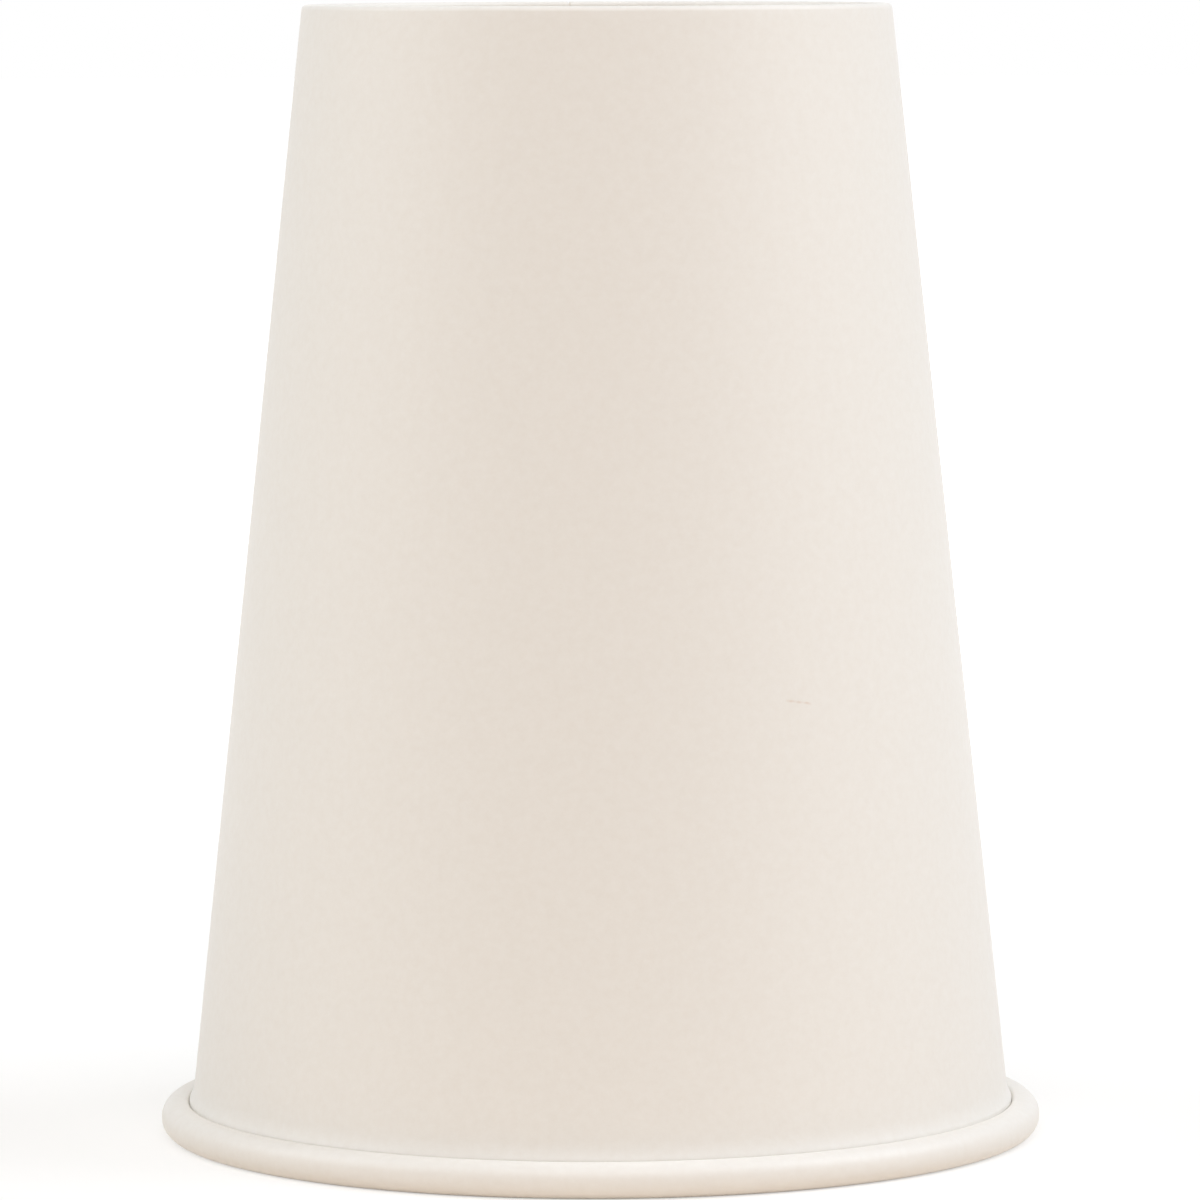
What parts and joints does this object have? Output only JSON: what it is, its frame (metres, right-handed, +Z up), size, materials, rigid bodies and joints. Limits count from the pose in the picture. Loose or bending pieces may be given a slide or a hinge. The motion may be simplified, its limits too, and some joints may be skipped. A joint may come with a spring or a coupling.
{
  "type": "paper cup",
  "caption": "Tapered paper cup standing upside down on its rolled rim, with a lapped side seam and a recessed bottom held in a knurled base fold.",
  "frame": {"origin": "centre of the circle that the rolled rim rests on, at the cup's lowest plane", "axes": "+Z up the cup's axis from the rim to the base ring, +Y towards the back, where the side seam is, +X to the right"},
  "size_m": [0.09, 0.09, 0.1152],
  "materials": {
    "wall_board": "satin",
    "bottom_board": "satin"
  },
  "bodies": {
    "root": {"side_wall": "wall_board", "bottom_disc": "bottom_board"}
  },
  "joints": []
}
